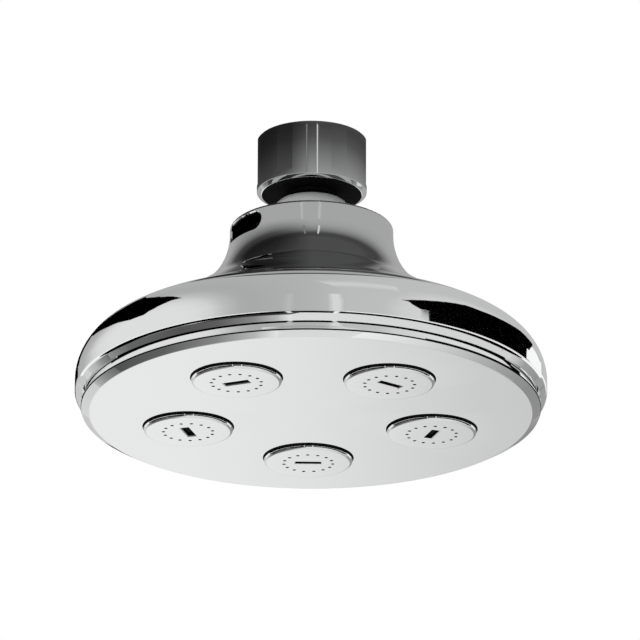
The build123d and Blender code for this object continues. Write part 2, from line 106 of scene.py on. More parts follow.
# %% Lathe helpers
ARC_STEP = math.radians(4)
MERGE = 1e-7


def rounded(corners):
    """Points in metres, in the XZ plane, for corners of (radius, height, rounding) in millimetres."""
    flat = []
    for i, (radius, height, rounding) in enumerate(corners):
        corner = Vector((radius, height))
        if not rounding:
            flat.append(corner)
            continue
        before = (Vector(corners[i - 1][:2]) - corner).normalized()
        after = (Vector(corners[i + 1][:2]) - corner).normalized()
        half = before.angle(after) / 2
        centre = corner + (before + after).normalized() * rounding / math.sin(half)
        start = corner + before * rounding / math.tan(half) - centre
        sweep = start.angle_signed(corner + after * rounding / math.tan(half) - centre)
        steps = max(2, round(abs(sweep) / ARC_STEP))
        for step in range(steps + 1):
            flat.append(centre + Matrix.Rotation(-sweep * step / steps, 2) @ start)
    return [Vector((point.x, 0, point.y)) * MM for point in flat]


def edit(piece):
    """Opens one piece alone in edit mode, all of it selected."""
    bpy.ops.object.select_all(action="DESELECT")
    piece.select_set(True)
    bpy.context.view_layer.objects.active = piece
    bpy.ops.object.mode_set(mode="EDIT")
    bpy.ops.mesh.select_all(action="SELECT")


def pick_faces(piece, wanted):
    """Opens a piece in face mode with only the wanted faces selected."""
    edit(piece)
    bpy.ops.mesh.select_mode(type="FACE")
    bpy.ops.mesh.select_all(action="DESELECT")
    bpy.ops.object.mode_set(mode="OBJECT")
    for face in piece.data.polygons:
        face.select = wanted(face)
    bpy.ops.object.mode_set(mode="EDIT")


def settle(piece):
    """Puts the piece's place into its mesh and leaves its object at the origin."""
    bpy.ops.object.mode_set(mode="OBJECT")
    bpy.ops.object.select_all(action="DESELECT")
    piece.select_set(True)
    bpy.context.view_layer.objects.active = piece
    bpy.ops.object.transform_apply(location=True, rotation=True, scale=True)


def draw_wire(name, points):
    """A wire through the points, one extruded edge after another."""
    bpy.ops.object.select_all(action="DESELECT")
    bpy.ops.mesh.primitive_plane_add(size=MM, location=points[0])
    wire = bpy.context.object
    wire.name = name
    bpy.ops.object.mode_set(mode="EDIT")
    bpy.ops.mesh.merge(type="CENTER")
    for last, point in zip(points, points[1:]):
        bpy.ops.mesh.extrude_region_move(TRANSFORM_OT_translate={"value": point - last})
    settle(wire)
    return wire


def lathe(name, corners, steps):
    """A closed turned piece from an outline of (radius, height, rounding) corners."""
    piece = draw_wire(name, rounded(corners))
    edit(piece)
    bpy.ops.mesh.spin(steps=steps, angle=2 * math.pi, center=(0, 0, 0), axis=(0, 0, 1))
    bpy.ops.mesh.select_all(action="SELECT")
    bpy.ops.mesh.remove_doubles(threshold=MERGE)
    bpy.ops.mesh.normals_make_consistent(inside=False)
    settle(piece)
    return piece


def carve(piece, tool, operation="DIFFERENCE"):
    """Cuts the tool out of the piece, or adds it, and throws the tool away."""
    cut = piece.modifiers.new("carve", "BOOLEAN")
    cut.operation = operation
    cut.solver = "EXACT"
    cut.material_mode = "TRANSFER"
    cut.object = tool
    bpy.ops.object.select_all(action="DESELECT")
    piece.select_set(True)
    bpy.context.view_layer.objects.active = piece
    bpy.ops.object.modifier_apply(modifier=cut.name)
    bpy.data.objects.remove(tool)


def smooth(piece, degrees):
    """Smooth shading that keeps every edge sharper than the angle."""
    bpy.ops.object.select_all(action="DESELECT")
    piece.select_set(True)
    bpy.context.view_layer.objects.active = piece
    bpy.ops.object.shade_smooth_by_angle(angle=math.radians(degrees))


def join(first, *others):
    """Joins several objects into the first."""
    bpy.ops.object.select_all(action="DESELECT")
    for piece in (first, *others):
        piece.select_set(True)
    bpy.context.view_layer.objects.active = first
    bpy.ops.object.join()
    return first


print("arcs are turned in steps of", round(math.degrees(ARC_STEP), 1), "degrees")

# %% [markdown]
# ## The inlet nut
# The nut screws on a half-inch pipe: outside it is a plain round sleeve with six shallow flats for a wrench,
# and inside it has a parallel thread. The CAD solid holds the thread as its smallest bore.
# Here the sleeve is turned with the thread's root as its bore, the flats are cut off,
# and one helical ridge is swept up the bore and joined on.
# The underside of the nut is painted near black out to a ring, as painted shade. A ring of its own could be
# laid on, but the face is flat there, so its faces only take a second finish.

# %% Nut sleeve
NUT_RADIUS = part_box("inlet_nut")[1].y / MM
NUT_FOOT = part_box("inlet_nut")[0].z / MM
NUT_FLOOR = NUT_FOOT + 3.35
FOOT_INSET = 1.0
FOOT_RISE = 0.65
MOUTH_CHAMFER = 0.5
STEM_HOLE = 6.28
THREAD_ROOT = 10.48
THREAD_LEAD = 0.4
THREAD_FOOT = -8.0
RELIEF_RADIUS = 9.82
FOOT_SHADE_RADIUS = 12.6
NUT_STEPS = 180

nut = lathe(
    "nut_sleeve",
    [
        (STEM_HOLE, NUT_FOOT, 0),
        (FOOT_SHADE_RADIUS, NUT_FOOT, 0),
        (NUT_RADIUS - FOOT_INSET, NUT_FOOT, 0.2),
        (NUT_RADIUS, NUT_FOOT + FOOT_RISE, 0.25),
        (NUT_RADIUS, -MOUTH_CHAMFER, 0.3),
        (NUT_RADIUS - MOUTH_CHAMFER, 0, 0.2),
        (THREAD_ROOT + THREAD_LEAD, 0, 0.1),
        (THREAD_ROOT, -THREAD_LEAD, 0),
        (THREAD_ROOT, THREAD_FOOT, 0),
        (RELIEF_RADIUS, THREAD_FOOT, 0),
        (RELIEF_RADIUS, NUT_FLOOR, 0),
        (STEM_HOLE, NUT_FLOOR, 0),
        (STEM_HOLE, NUT_FOOT, 0),
    ],
    steps=NUT_STEPS,
)
nut_chrome = bpy.data.materials.new("nut_plating")
foot_shade_paint = bpy.data.materials.new("painted_foot_shade")
nut.data.materials.append(nut_chrome)
nut.data.materials.append(foot_shade_paint)
# Faces of the foot inside this radius take the near black finish: painted shade.
for face in nut.data.polygons:
    on_foot = face.normal.z < -0.9 and face.center.z < (NUT_FOOT + 0.1) * MM
    face.material_index = 1 if on_foot and face.center.xy.length < FOOT_SHADE_RADIUS * MM else 0
print(nut.name, len(nut.data.polygons), "faces")

# %% Wrench flats
FLAT_COUNT = 6
FLAT_DEPTH = 0.18
FLAT_SHELF = 2.2
FLAT_TOOL = (3, 10, 20)
flat_tools = []
for number in range(FLAT_COUNT):
    turn = math.radians(360 / FLAT_COUNT * number)
    reach = (NUT_RADIUS - FLAT_DEPTH + FLAT_TOOL[0] / 2) * MM
    height = (NUT_FOOT + FLAT_SHELF + FLAT_TOOL[2] / 2) * MM
    bpy.ops.mesh.primitive_cube_add(
        size=1,
        location=(reach * math.cos(turn), reach * math.sin(turn), height),
        rotation=(0, 0, turn),
        scale=[side * MM for side in FLAT_TOOL],
    )
    bpy.context.object.data.materials.append(nut_chrome)
    flat_tools.append(bpy.context.object)
carve(nut, join(*flat_tools))
print(nut.name, "with flats", len(nut.data.polygons), "faces")

# %% Thread ridge
THREAD_PITCH = 1.814
THREAD_TURNS = 3.5
THREAD_CREST = 9.36
TURN_STEPS = 72
RIDGE_BITE = 0.05
RIDGE_ROOT_HALF = 0.75
RIDGE_CREST_HALF = 0.17
ridge_middle = THREAD_FOOT + 0.85
ridge_outline = [
    (THREAD_ROOT + RIDGE_BITE, ridge_middle - RIDGE_ROOT_HALF, 0),
    (THREAD_CREST, ridge_middle - RIDGE_CREST_HALF, 0),
    (THREAD_CREST, ridge_middle + RIDGE_CREST_HALF, 0),
    (THREAD_ROOT + RIDGE_BITE, ridge_middle + RIDGE_ROOT_HALF, 0),
    (THREAD_ROOT + RIDGE_BITE, ridge_middle - RIDGE_ROOT_HALF, 0),
]
ridge = draw_wire("thread_ridge", rounded(ridge_outline))
sweep = ridge.modifiers.new("sweep", "SCREW")
sweep.angle = 2 * math.pi * THREAD_TURNS
sweep.screw_offset = THREAD_PITCH * THREAD_TURNS * MM
sweep.steps = sweep.render_steps = round(TURN_STEPS * THREAD_TURNS)
sweep.use_merge_vertices = False
bpy.ops.object.modifier_apply(modifier=sweep.name)
edit(ridge)
bpy.ops.mesh.remove_doubles(threshold=MERGE)
bpy.ops.mesh.select_all(action="DESELECT")
bpy.ops.mesh.select_non_manifold()
bpy.ops.mesh.fill_holes(sides=0)
bpy.ops.mesh.select_all(action="SELECT")
bpy.ops.mesh.normals_make_consistent(inside=False)
settle(ridge)
ridge.data.materials.append(nut_chrome)
carve(nut, ridge, "UNION")
smooth(nut, 6)
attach(nut, "inlet")
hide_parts("inlet_nut")
print(nut.name, "with thread", len(nut.data.polygons), "faces")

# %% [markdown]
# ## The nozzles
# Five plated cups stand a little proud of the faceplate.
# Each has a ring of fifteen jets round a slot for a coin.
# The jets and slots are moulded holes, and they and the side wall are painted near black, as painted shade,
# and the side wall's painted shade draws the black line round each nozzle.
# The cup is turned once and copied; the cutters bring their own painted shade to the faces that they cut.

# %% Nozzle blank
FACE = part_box("faceplate")[0].z / MM
NOZZLE_FACE = NOZZLE_PLANE / MM
NOZZLE_RADIUS = 11.2
NOZZLE_ROUNDING = 0.8
NOZZLE_STEPS = 128
SHOULDER = FACE + 2.4
SPIGOT_RADIUS = 9.2
SPIGOT_TOP = FACE + 9.6
CUP_RADIUS = 7.6
CUP_FLOOR = NOZZLE_FACE + 2.1

blank = lathe(
    "nozzle_blank",
    [
        (0, NOZZLE_FACE, 0),
        (NOZZLE_RADIUS, NOZZLE_FACE, NOZZLE_ROUNDING),
        (NOZZLE_RADIUS, SHOULDER, 0),
        (SPIGOT_RADIUS, SHOULDER, 0),
        (SPIGOT_RADIUS, SPIGOT_TOP, 0),
        (CUP_RADIUS, SPIGOT_TOP, 0),
        (CUP_RADIUS, CUP_FLOOR, 0),
        (0, CUP_FLOOR, 0),
    ],
    steps=NOZZLE_STEPS,
)
print(blank.name, len(blank.data.polygons), "faces")

# %% Jets and slot
JET_COUNT = 15
JET_CIRCLE = 6.2
JET_RADIUS = 0.45
JET_SIDES = 20
JET_TOOL_LENGTH = 4
JET_TOOL_MIDDLE = 1
SLOT_SIZE = (2.0, 6.5)
SLOT_DEPTH = 1.2
SLOT_FLARE = 0.22
nozzle_chrome = bpy.data.materials.new("nozzle_plating")
painted_gap_shade = bpy.data.materials.new("painted_gap_shade")
blank.data.materials.append(nozzle_chrome)
blank.data.materials.append(painted_gap_shade)
# The side wall takes the near black finish: painted shade.
for face in blank.data.polygons:
    if abs(face.normal.z) < 0.02 and face.center.xy.length > (NOZZLE_RADIUS - 0.1) * MM:
        face.material_index = 1


def jet_cutter(turn):
    """Fifteen fine bores on a circle, from in front of the face into the cup."""
    bores = []
    for number in range(JET_COUNT):
        angle = turn + 2 * math.pi * number / JET_COUNT
        height = NOZZLE_FACE + JET_TOOL_MIDDLE
        place = Vector((JET_CIRCLE * math.cos(angle), JET_CIRCLE * math.sin(angle), height)) * MM
        bpy.ops.mesh.primitive_cylinder_add(
            vertices=JET_SIDES, radius=JET_RADIUS * MM, depth=JET_TOOL_LENGTH * MM, location=place
        )
        bores.append(bpy.context.object)
    cutter = join(*bores)
    # The bores take the near black finish: painted shade.
    cutter.data.materials.append(painted_gap_shade)
    return cutter


def slot_cutter(turn):
    """A blind slot whose mouth flares out a little, plated on the flare and painted with shade below."""
    deep = (SLOT_DEPTH - SLOT_FLARE) * MM
    floor_height = (NOZZLE_FACE + SLOT_DEPTH) * MM
    bpy.ops.mesh.primitive_cube_add(
        size=1,
        location=(0, 0, floor_height - deep / 2),
        scale=(SLOT_SIZE[0] * MM, SLOT_SIZE[1] * MM, deep),
    )
    cutter = bpy.context.object
    settle(cutter)
    cutter.data.materials.append(nozzle_chrome)
    cutter.data.materials.append(painted_gap_shade)
    for side in cutter.data.polygons:
        side.material_index = 1
    pick_faces(cutter, lambda side: side.normal.z < -0.5)
    grow = [(size + 4 * SLOT_FLARE) / size for size in SLOT_SIZE]
    bpy.ops.mesh.extrude_region_move(TRANSFORM_OT_translate={"value": (0, 0, -2 * SLOT_FLARE * MM)})
    bpy.ops.transform.resize(value=(grow[0], grow[1], 1), center_override=(0, 0, 0))
    bpy.ops.mesh.select_mode(type="VERT")
    bpy.ops.object.mode_set(mode="OBJECT")
    for side in cutter.data.polygons:
        if 0.1 < -side.normal.z < 0.9 or side.center.z < (NOZZLE_FACE + SLOT_FLARE / 2) * MM:
            side.material_index = 0
    cutter.rotation_euler.z = turn
    settle(cutter)
    return cutter


print("jets", JET_COUNT, "on a radius of", JET_CIRCLE, "mm")

# %% [markdown]
# ## Five copies
# The copies are cut while they still stand on the axis, because the cutters do too, and only then moved out
# to their circle. In the picture the spray plate shows no mirror image of them, so they are hidden from
# mirror rays. The jets are turned as they are seen, each nozzle on its own.

# %% Five nozzles
NOZZLE_COUNT = 5
NOZZLE_CIRCLE = 32.096
NOZZLE_AZIMUTH = 19.1
JET_TURNS = (18.2, 9.6, 19.1, 19.3, 2.8)
SLOT_TURNS = (0, 0, 0, 12, 0)


def nozzle_azimuth(number):
    """The direction of one nozzle from the head's axis."""
    return math.radians(NOZZLE_AZIMUTH + 360 / NOZZLE_COUNT * number)


for number in range(NOZZLE_COUNT):
    bpy.ops.object.select_all(action="DESELECT")
    blank.select_set(True)
    bpy.context.view_layer.objects.active = blank
    bpy.ops.object.duplicate()
    insert = bpy.context.object
    insert.name = f"nozzle_insert_{number + 1}"
    carve(insert, jet_cutter(math.radians(JET_TURNS[number])))
    carve(insert, slot_cutter(math.radians(SLOT_TURNS[number])))
    azimuth = nozzle_azimuth(number)
    insert.rotation_euler.z = azimuth
    insert.location = (NOZZLE_CIRCLE * MM * math.cos(azimuth), NOZZLE_CIRCLE * MM * math.sin(azimuth), 0)
    settle(insert)
    smooth(insert, 15)
    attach(insert, "head")
    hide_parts(f"nozzle_{number + 1}")
    insert.visible_glossy = False
    print(insert.name, len(insert.data.polygons), "faces")
bpy.data.objects.remove(blank)

# %% [markdown]
# ## The spray plate
# The plate is a thin turned disc. Its rim is what draws the fine black lines under the bell,
# so its edges have to be even all round. The CAD mesh has only a few facets on so small a rounding,
# and the line would break up; a fresh disc on the lathe, with fine steps and five round holes, keeps it whole.
# A fine seam in the flange and the walls of the holes are painted near black, as painted shade of gaps.

# %% Spray plate
PLATE_RADIUS = 55.4
PLATE_ROUNDING = 0.8
PLATE_STEPS = 256
PLATE_BACK = FACE + 1.8
FLANGE_RADIUS = 57.45
FLANGE_TOP = FACE + 1.65
FLANGE_SETBACK = 0.12
SEAM_DEPTH = 0.45
SEAM_LOW = FACE + 1.083
SEAM_HIGH = FACE + 1.42
RIM_WALL = 56.6
RIM_THICKNESS = 1.8
RIM_DRAFT = 0.25
RIM_TOP = FACE + 5.6
SKIRT_FOOT = FACE + 3.5
BEAD_HEIGHT = FACE + 4.9
BEAD_HALF = 0.45
BEAD_PROUD = 0.4

plate = lathe(
    "spray_plate",
    [
        (0, FACE, 0),
        (PLATE_RADIUS, FACE, PLATE_ROUNDING),
        (FLANGE_RADIUS - FLANGE_SETBACK, SEAM_LOW, 0),
        (FLANGE_RADIUS - SEAM_DEPTH, (SEAM_LOW + SEAM_HIGH) / 2, 0),
        (FLANGE_RADIUS, SEAM_HIGH, 0),
        (FLANGE_RADIUS, FLANGE_TOP, 0),
        (RIM_WALL - RIM_DRAFT, FLANGE_TOP, 0),
        (RIM_WALL, SKIRT_FOOT, 0),
        (RIM_WALL, BEAD_HEIGHT - BEAD_HALF, 0),
        (RIM_WALL + BEAD_PROUD, BEAD_HEIGHT, 0),
        (RIM_WALL, BEAD_HEIGHT + BEAD_HALF, 0),
        (RIM_WALL, RIM_TOP, 0),
        (RIM_WALL - RIM_THICKNESS, RIM_TOP, 0),
        (RIM_WALL - RIM_THICKNESS, PLATE_BACK, 0),
        (0, PLATE_BACK, 0),
    ],
    steps=PLATE_STEPS,
)
print(plate.name, len(plate.data.polygons), "faces")

# %% Holes for the nozzles
HOLE_RADIUS = 11.5
HOLE_TOOL_LENGTH = 6
HOLE_MARGIN = 0.1
SEAM_REACH = 0.5
hole_tools = []
hole_places = []
for number in range(NOZZLE_COUNT):
    azimuth = nozzle_azimuth(number)
    place = Vector((NOZZLE_CIRCLE * math.cos(azimuth), NOZZLE_CIRCLE * math.sin(azimuth), FACE)) * MM
    bpy.ops.mesh.primitive_cylinder_add(
        vertices=NOZZLE_STEPS, radius=HOLE_RADIUS * MM, depth=HOLE_TOOL_LENGTH * MM, location=place
    )
    hole_tools.append(bpy.context.object)
    hole_places.append(place.xy)
carve(plate, join(*hole_tools))
plate_chrome = bpy.data.materials.new("face_plating")
plate.data.materials.clear()
plate.data.materials.append(plate_chrome)
plate.data.materials.append(painted_gap_shade)
# Seam and hole walls take the near black finish: painted shade.
for face in plate.data.polygons:
    at_seam_height = SEAM_LOW < face.center.z / MM < SEAM_HIGH
    in_seam = at_seam_height and face.center.xy.length > (FLANGE_RADIUS - SEAM_REACH) * MM
    from_hole = min((face.center.xy - place).length for place in hole_places)
    in_hole = abs(face.normal.z) < 0.1 and from_hole < (HOLE_RADIUS + HOLE_MARGIN) * MM
    face.material_index = 1 if in_seam or in_hole else 0
smooth(plate, 15)
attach(plate, "head")
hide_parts("faceplate")
print(plate.name, "with holes", len(plate.data.polygons), "faces")

# %% [markdown]
# ## Shared surface effects
# Plating is not one flat grey: its gloss drifts, dried drops leave faint spots, and the moulding below
# leaves a slow ripple. Rubber and moulded plastic have a fine speckle. Turned metal has rings.
# Each of these is a node group, so that several finishes can use it with their own values.

# %% Group helpers
def new_group(name, inputs, outputs):
    """An empty shader group with float, vector or colour sockets."""
    group = bpy.data.node_groups.new(name, "ShaderNodeTree")
    for socket, kind in inputs:
        group.interface.new_socket(socket, in_out="INPUT", socket_type=kind)
    for socket, kind in outputs:
        group.interface.new_socket(socket, in_out="OUTPUT", socket_type=kind)
    way_in = group.nodes.new("NodeGroupInput")
    way_out = group.nodes.new("NodeGroupOutput")
    return group, way_in, way_out


def map_range(tree, low, high, to_low, to_high):
    """A clamped Map Range node with its four limits set."""
    node = tree.nodes.new("ShaderNodeMapRange")
    for socket, value in zip(("From Min", "From Max", "To Min", "To Max"), (low, high, to_low, to_high)):
        node.inputs[socket].default_value = value
    return node


def math_node(tree, operation, value=None):
    """A Math node, with its second value set where it is a constant."""
    node = tree.nodes.new("ShaderNodeMath")
    node.operation = operation
    if value is not None:
        node.inputs[1].default_value = value
    return node


FLOAT, VECTOR, COLOUR = "NodeSocketFloat", "NodeSocketVector", "NodeSocketColor"
print("group sockets:", FLOAT, VECTOR, COLOUR)

# %% Plating marks
plating, way_in, way_out = new_group(
    "plating_marks",
    [("Vector", VECTOR), ("Gloss", FLOAT), ("Haze", FLOAT), ("Spots", FLOAT)],
    [("Roughness", FLOAT), ("Height", FLOAT)],
)
haze = plating.nodes.new("ShaderNodeTexNoise")
haze.inputs["Scale"].default_value = 45
haze.inputs["Detail"].default_value = 4
haze_level = map_range(plating, 0.45, 0.75, 0, 1)
haze_share = math_node(plating, "MULTIPLY")
drops = plating.nodes.new("ShaderNodeTexVoronoi")
drops.inputs["Scale"].default_value = 220
drop_rim = map_range(plating, 0.04, 0.16, 1, 0)
drop_share = math_node(plating, "MULTIPLY")
with_haze = math_node(plating, "ADD")
with_drops = math_node(plating, "ADD")
ripple = plating.nodes.new("ShaderNodeTexNoise")
ripple.inputs["Scale"].default_value = 38
ripple.inputs["Detail"].default_value = 1
for texture in (haze, drops, ripple):
    plating.links.new(way_in.outputs["Vector"], texture.inputs["Vector"])
plating.links.new(haze.outputs["Fac"], haze_level.inputs["Value"])
plating.links.new(haze_level.outputs[0], haze_share.inputs[0])
plating.links.new(way_in.outputs["Haze"], haze_share.inputs[1])
plating.links.new(drops.outputs["Distance"], drop_rim.inputs["Value"])
plating.links.new(drop_rim.outputs[0], drop_share.inputs[0])
plating.links.new(way_in.outputs["Spots"], drop_share.inputs[1])
plating.links.new(way_in.outputs["Gloss"], with_haze.inputs[0])
plating.links.new(haze_share.outputs[0], with_haze.inputs[1])
plating.links.new(with_haze.outputs[0], with_drops.inputs[0])
plating.links.new(drop_share.outputs[0], with_drops.inputs[1])
plating.links.new(with_drops.outputs[0], way_out.inputs["Roughness"])
plating.links.new(ripple.outputs["Fac"], way_out.inputs["Height"])
print("group", plating.name, len(plating.nodes), "nodes")

# %% Moulded speckle
speckle, way_in, way_out = new_group(
    "moulded_speckle",
    [("Vector", VECTOR), ("Scale", FLOAT), ("Dark", COLOUR), ("Light", COLOUR)],
    [("Color", COLOUR), ("Height", FLOAT)],
)
grain = speckle.nodes.new("ShaderNodeTexNoise")
grain.inputs["Detail"].default_value = 6
tone = speckle.nodes.new("ShaderNodeMix")
tone.data_type = "RGBA"
speckle.links.new(way_in.outputs["Vector"], grain.inputs["Vector"])
speckle.links.new(way_in.outputs["Scale"], grain.inputs["Scale"])
speckle.links.new(grain.outputs["Fac"], tone.inputs["Factor"])
speckle.links.new(way_in.outputs["Dark"], tone.inputs[6])
speckle.links.new(way_in.outputs["Light"], tone.inputs[7])
speckle.links.new(tone.outputs[2], way_out.inputs["Color"])
speckle.links.new(grain.outputs["Fac"], way_out.inputs["Height"])
print("group", speckle.name, len(speckle.nodes), "nodes")

# %% Turned rings
rings, way_in, way_out = new_group(
    "turned_rings",
    [("Vector", VECTOR), ("Scale", FLOAT), ("Smooth", FLOAT), ("Coarse", FLOAT)],
    [("Roughness", FLOAT), ("Height", FLOAT)],
)
wave = rings.nodes.new("ShaderNodeTexWave")
wave.wave_type = "RINGS"
wave.rings_direction = "Z"
wave.inputs["Distortion"].default_value = 0.6
blend_rough = rings.nodes.new("ShaderNodeMix")
rings.links.new(way_in.outputs["Vector"], wave.inputs["Vector"])
rings.links.new(way_in.outputs["Scale"], wave.inputs["Scale"])
rings.links.new(wave.outputs["Fac"], blend_rough.inputs["Factor"])
rings.links.new(way_in.outputs["Smooth"], blend_rough.inputs[2])
rings.links.new(way_in.outputs["Coarse"], blend_rough.inputs[3])
rings.links.new(blend_rough.outputs[0], way_out.inputs["Roughness"])
rings.links.new(wave.outputs["Fac"], way_out.inputs["Height"])
print("group", rings.name, len(rings.nodes), "nodes")

# %% [markdown]
# ## The finishes
# Each slot of the record gets one procedural finish. Bright chrome is a full metal with hardly any roughness;
# the groups above only stir its gloss and its surface. Rubber, acetal and the moulded plastics are plain
# dielectrics with a speckle, and the hidden steel parts show their turning.

# %% Finish helpers
# Near black for painted shade inside the neck and on the stem under the nut.
PAINTED_SHADE_BLACK = (0.01, 0.01, 0.01, 1)


def open_material(material):
    """Node tree, shader and Object coordinates of a material."""
    material.use_nodes = True
    tree = material.node_tree
    place = tree.nodes.new("ShaderNodeTexCoord")
    return tree, tree.nodes["Principled BSDF"], place.outputs["Object"]


def add_group(tree, group, vector, **values):
    """Places a group in a material, with its values set by socket name."""
    node = tree.nodes.new("ShaderNodeGroup")
    node.node_tree = group
    tree.links.new(vector, node.inputs["Vector"])
    for socket, value in values.items():
        node.inputs[socket].default_value = value
    return node


def add_bump(tree, shader, height, strength, distance):
    """Feeds a height through a Bump node into the shader's normal."""
    bump = tree.nodes.new("ShaderNodeBump")
    bump.inputs["Strength"].default_value = strength
    bump.inputs["Distance"].default_value = distance
    tree.links.new(height, bump.inputs["Height"])
    tree.links.new(bump.outputs["Normal"], shader.inputs["Normal"])


def plate_with_chrome(material, colour, gloss, haze, spots):
    """Bright chrome: a full metal whose gloss drifts a little."""
    tree, shader, vector = open_material(material)
    shader.inputs["Base Color"].default_value = (*colour, 1)
    shader.inputs["Metallic"].default_value = 1
    marks = add_group(tree, plating, vector, Gloss=gloss, Haze=haze, Spots=spots)
    tree.links.new(marks.outputs["Roughness"], shader.inputs["Roughness"])
    add_bump(tree, shader, marks.outputs["Height"], 0.2, 0.02 * MM)
    return material


def paint_shade_inside(material, radius, low, high):
    """Paints shade, near black, inside an upright cylinder round the axis, given in millimetres."""
    tree = material.node_tree
    shader = tree.nodes["Principled BSDF"]
    place = tree.nodes.new("ShaderNodeTexCoord")
    split = tree.nodes.new("ShaderNodeSeparateXYZ")
    across = tree.nodes.new("ShaderNodeCombineXYZ")
    reach = tree.nodes.new("ShaderNodeVectorMath")
    reach.operation = "LENGTH"
    near_axis = math_node(tree, "LESS_THAN", radius * MM)
    above = math_node(tree, "GREATER_THAN", low * MM)
    below = math_node(tree, "LESS_THAN", high * MM)
    in_band = math_node(tree, "MULTIPLY")
    inside = math_node(tree, "MULTIPLY")
    tone = tree.nodes.new("ShaderNodeMix")
    tone.data_type = "RGBA"
    tone.inputs[6].default_value = shader.inputs["Base Color"].default_value
    tone.inputs[7].default_value = PAINTED_SHADE_BLACK
    tree.links.new(place.outputs["Object"], split.inputs[0])
    tree.links.new(split.outputs["X"], across.inputs["X"])
    tree.links.new(split.outputs["Y"], across.inputs["Y"])
    tree.links.new(across.outputs[0], reach.inputs[0])
    tree.links.new(reach.outputs["Value"], near_axis.inputs[0])
    tree.links.new(split.outputs["Z"], above.inputs[0])
    tree.links.new(split.outputs["Z"], below.inputs[0])
    tree.links.new(above.outputs[0], in_band.inputs[0])
    tree.links.new(below.outputs[0], in_band.inputs[1])
    tree.links.new(near_axis.outputs[0], inside.inputs[0])
    tree.links.new(in_band.outputs[0], inside.inputs[1])
    tree.links.new(inside.outputs[0], tone.inputs["Factor"])
    tree.links.new(tone.outputs[2], shader.inputs["Base Color"])


def mould(material, dark, light, scale, roughness, bump):
    """Rubber or plastic with a speckle of two close colours."""
    tree, shader, vector = open_material(material)
    shader.inputs["Roughness"].default_value = roughness
    grain = add_group(tree, speckle, vector, Scale=scale, Dark=(*dark, 1), Light=(*light, 1))
    tree.links.new(grain.outputs["Color"], shader.inputs["Base Color"])
    add_bump(tree, shader, grain.outputs["Height"], bump, 0.1 * MM)
    return material


def turn_steel(material, colour, scale, smooth_part, coarse_part):
    """Steel with turning rings round the head's axis."""
    tree, shader, vector = open_material(material)
    shader.inputs["Base Color"].default_value = (*colour, 1)
    shader.inputs["Metallic"].default_value = 1
    lines = add_group(tree, rings, vector, Scale=scale, Smooth=smooth_part, Coarse=coarse_part)
    tree.links.new(lines.outputs["Roughness"], shader.inputs["Roughness"])
    add_bump(tree, shader, lines.outputs["Height"], 0.3, 0.02 * MM)
    return material


def fresh(name):
    """A new material to finish."""
    return bpy.data.materials.new(name)


print("slots to finish:", len({node.material_slots[0].material.name for node in nodes.values()}))

# %% [markdown]
# ## Chrome
# The bell, the plate, the nut and the nozzles have the same bright chrome with a little more or less haze.
# The ball is rubbed by its seats, so it is duller. Inside the neck and on the stem under the nut the colour
# is painted near black, as painted shade of those gaps. Chrome walls there would mirror the white room.

# %% Chrome finishes
CHROME = (0.91, 0.915, 0.92)
WORN_CHROME = (0.75, 0.755, 0.76)
WORN_METALLIC = 0.35
# Near black colours for painted shade in holes, gaps and on the nut's foot.
GAP_SHADE_PAINT = ((0.004, 0.004, 0.004), (0.012, 0.012, 0.012))
GAP_SPECULAR = 0.02
UNDER_NUT = (8.5, NUT_FOOT - 2.4, NUT_FOOT + 0.3)
IN_NECK = (20.3, FACE + 30, FACE + 49.2)
finishes = {
    "nut_chrome": plate_with_chrome(nut_chrome, CHROME, 0.035, 0.03, 0.04),
    "ball_chrome": plate_with_chrome(fresh("ball_plating"), WORN_CHROME, 0.28, 0.05, 0.0),
    "body_chrome": plate_with_chrome(fresh("body_plating"), CHROME, 0.03, 0.025, 0.03),
    "face_chrome": plate_with_chrome(plate_chrome, CHROME, 0.03, 0.03, 0.04),
    "nozzle_chrome": plate_with_chrome(nozzle_chrome, CHROME, 0.03, 0.03, 0.0),
}
ball_shader = finishes["ball_chrome"].node_tree.nodes["Principled BSDF"]
ball_shader.inputs["Metallic"].default_value = WORN_METALLIC
paint_shade_inside(finishes["ball_chrome"], *UNDER_NUT)
paint_shade_inside(finishes["body_chrome"], *IN_NECK)
# Painted shade finishes for the nozzle holes, the gaps and the nut's foot.
for shadow in (painted_gap_shade, foot_shade_paint):
    mould(shadow, *GAP_SHADE_PAINT, 900, 0.6, 0.1)
    shadow.node_tree.nodes["Principled BSDF"].inputs["Specular IOR Level"].default_value = GAP_SPECULAR
chrome_count = len(finishes)
print("chrome finishes:", sorted(finishes))

# %% [markdown]
# ## Inner finishes
# The pieces inside are seldom seen, but a part is looked at from all sides and taken apart.
# Rubber, acetal and the two moulded plastics differ in colour, grain and gloss,
# and the three steels in colour and in how coarse their turning is, so two tables hold them all.

# %% Inner finishes
MOULDED = {
    "washer_rubber": ("washer_rubber_black", (0.012, 0.012, 0.012), (0.03, 0.03, 0.03), 1400, 0.7, 0.4),
    "seal_rubber": ("seal_rubber_black", (0.01, 0.01, 0.011), (0.024, 0.024, 0.025), 1600, 0.5, 0.2),
    "seat_acetal": ("seat_acetal_black", (0.012, 0.012, 0.013), (0.02, 0.02, 0.021), 700, 0.35, 0.1),
    "restrictor_plastic": ("restrictor_white", (0.7, 0.7, 0.68), (0.78, 0.78, 0.76), 500, 0.4, 0.1),
    "manifold_plastic": ("manifold_grey", (0.1, 0.1, 0.105), (0.14, 0.14, 0.145), 600, 0.45, 0.2),
}
TURNED = {
    "spring_steel": ("spring_steel_bright", (0.55, 0.55, 0.56), 900, 0.2, 0.34),
    "filter_steel": ("filter_steel_fine", (0.6, 0.6, 0.6), 700, 0.25, 0.4),
    "screw_steel": ("screw_steel_zinc", (0.6, 0.61, 0.64), 500, 0.25, 0.4),
}
for slot, (name, *recipe) in MOULDED.items():
    finishes[slot] = mould(fresh(name), *recipe)
